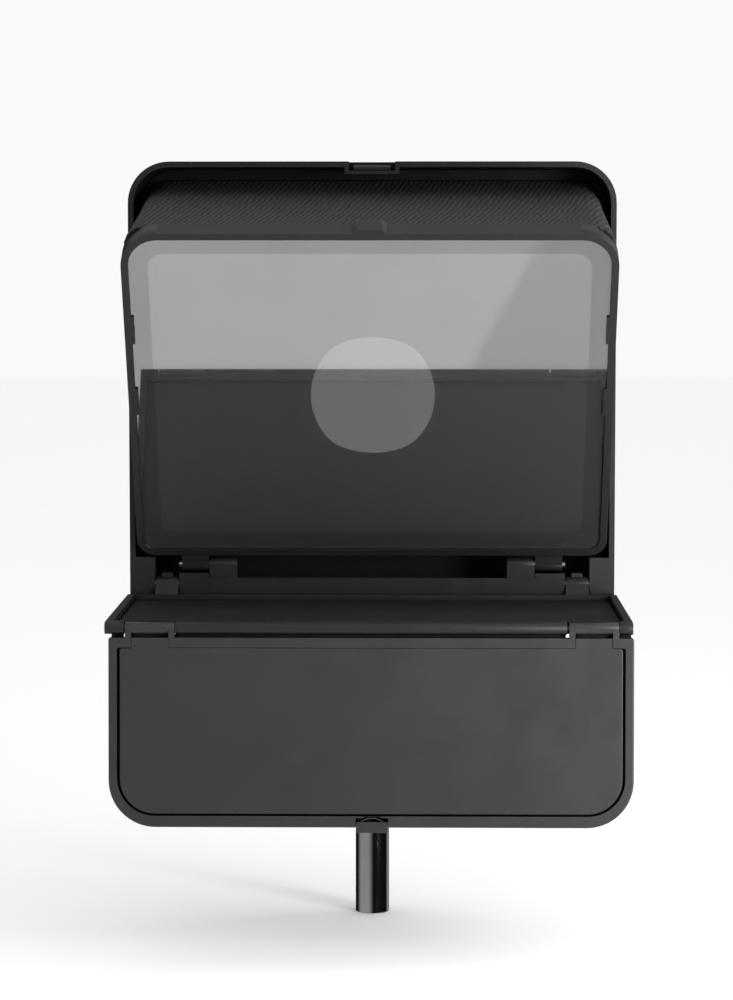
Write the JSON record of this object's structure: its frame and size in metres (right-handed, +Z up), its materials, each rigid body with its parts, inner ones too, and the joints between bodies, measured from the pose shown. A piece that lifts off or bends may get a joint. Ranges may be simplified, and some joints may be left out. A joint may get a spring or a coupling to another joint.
{
  "type": "folding phone teleprompter",
  "caption": "Folding phone teleprompter with a tilted beam splitter in a cloth hood, a phone tray, a hanging front panel with a latch, and a stand rod.",
  "frame": {"origin": "centre of the stand thread's mouth at the rod's lower end", "axes": "+X to the reader's right, +Y from the reader towards the camera, +Z up along the rod"},
  "size_m": [0.2136, 0.1475, 0.332],
  "materials": {
    "housing_plastic": "fine satin moulding texture",
    "panel_plastic": "fine satin moulding texture",
    "inner_plastic": "matt black",
    "frame_plastic": "satin",
    "hood_cloth": "twill weave",
    "mirror_glass": "partly silvered",
    "rubber_pad": "matt",
    "pin_steel": "bright",
    "black_steel": "blackened",
    "rod_metal": "black chrome",
    "thread_brass": "machined"
  },
  "bodies": {
    "housing": {"rear_housing": "housing_plastic", "mask_plate": "inner_plastic", "lens_ring": "inner_plastic", "back_screws": "black_steel", "latch_catch": "housing_plastic", "hood_fabric": "hood_cloth", "hood_clamp": "inner_plastic", "thread_insert": "thread_brass", "rod_washer": "rubber_pad", "support_rod": "rod_metal", "rod_stud": "pin_steel", "rod_socket": "thread_brass", "tray_hinge_pins": "pin_steel"},
    "glass_frame_body": {"glass_frame": "frame_plastic", "glass_flange": "inner_plastic", "beam_splitter": "mirror_glass", "glass_clips": "frame_plastic", "glass_hinge_pins": "pin_steel"},
    "tray": {"phone_tray": "housing_plastic", "tray_pad": "rubber_pad", "panel_hinge_pins": "pin_steel"},
    "panel": {"panel_frame": "panel_plastic", "panel_plate": "panel_plastic"},
    "latch": {"panel_latch": "panel_plastic", "latch_spring": "pin_steel"}
  },
  "joints": [
    {"name": "tray_fold", "type": "hinge", "parent": "housing", "child": "tray", "pos_m": [0, -0.015, 0.148], "axis": [-1, 0, 0], "range_deg": [0, 90]},
    {"name": "glass_tilt", "type": "hinge", "parent": "housing", "child": "glass_frame_body", "pos_m": [0, -0.0145, 0.1567], "axis": [-1, 0, 0], "range_deg": [0, 29.5], "deforming": ["hood_fabric"]},
    {"name": "panel_fold", "type": "hinge", "parent": "tray", "child": "panel", "pos_m": [0.001, -0.11925, 0.1415], "axis": [-1, 0, 0], "range_deg": [0, 87]},
    {"name": "latch_slide", "type": "slide", "parent": "panel", "child": "latch", "axis": [0, 0.0523, 0.9986], "range_m": [0, 0.0015], "stiffness_N_per_m": 400, "springref_m": -0.001, "deforming": ["latch_spring"]}
  ],
  "couplings": [
    {"joint": "glass_tilt", "follows": "tray_fold", "ratio": 0.3277}
  ]
}
